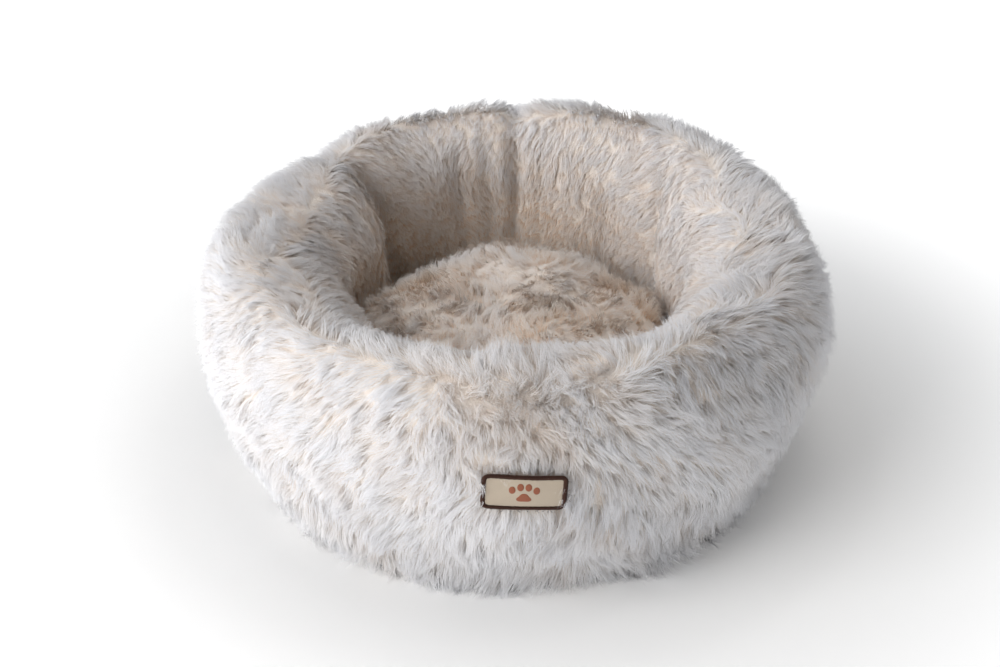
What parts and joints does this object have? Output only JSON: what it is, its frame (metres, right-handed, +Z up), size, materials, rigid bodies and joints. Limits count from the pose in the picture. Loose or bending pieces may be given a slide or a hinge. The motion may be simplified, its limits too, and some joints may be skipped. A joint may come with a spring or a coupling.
{
  "type": "pet cushion bed",
  "caption": "Round high-walled pet bed in long cream faux fur, with a loose puffed cushion in its deep well and a small woven patch on the front.",
  "frame": {"origin": "centre of the face that the bed stands on", "axes": "+Z up out of the well; -Y towards the front, which carries the patch; +X to the right seen from the front"},
  "size_m": [0.51, 0.5097, 0.21],
  "materials": {
    "cream_fur": "long shaggy pile",
    "fibre": "loose fibre",
    "cotton_tape": "woven",
    "cream_thread": "spun",
    "non_slip_cloth": "coated weave",
    "grip_rubber": "matte",
    "lining_cloth": "plain weave",
    "label_cloth": "twill weave",
    "label_border_thread": "overlocked",
    "label_print": "printed",
    "label_stitch_thread": "spun",
    "care_tape": "satin tape"
  },
  "bodies": {
    "bed": {"wall_cover": "cream_fur", "wall_filling": "fibre", "back_seam_binding": "cotton_tape", "back_seam_thread": "cream_thread", "base_sheet": "non_slip_cloth", "base_grip_dots": "grip_rubber", "base_edge_seam": "cotton_tape", "base_seam_thread": "cream_thread", "well_floor_lining": "lining_cloth", "well_edge_seam": "cotton_tape", "well_seam_thread": "cream_thread", "label_patch": "label_cloth", "label_border": "label_border_thread", "label_motif": "label_print", "label_stitches": "label_stitch_thread", "care_label": "care_tape"},
    "cushion": {"cushion_top_cover": "cream_fur", "cushion_bottom_cover": "lining_cloth", "cushion_filling": "fibre", "cushion_edge_seam": "cotton_tape", "cushion_seam_thread": "cream_thread"}
  },
  "joints": [
    {"name": "cushion_lift", "type": "slide", "parent": "bed", "child": "cushion", "axis": [0, 0, 1], "range_m": [0, 0.25]}
  ]
}
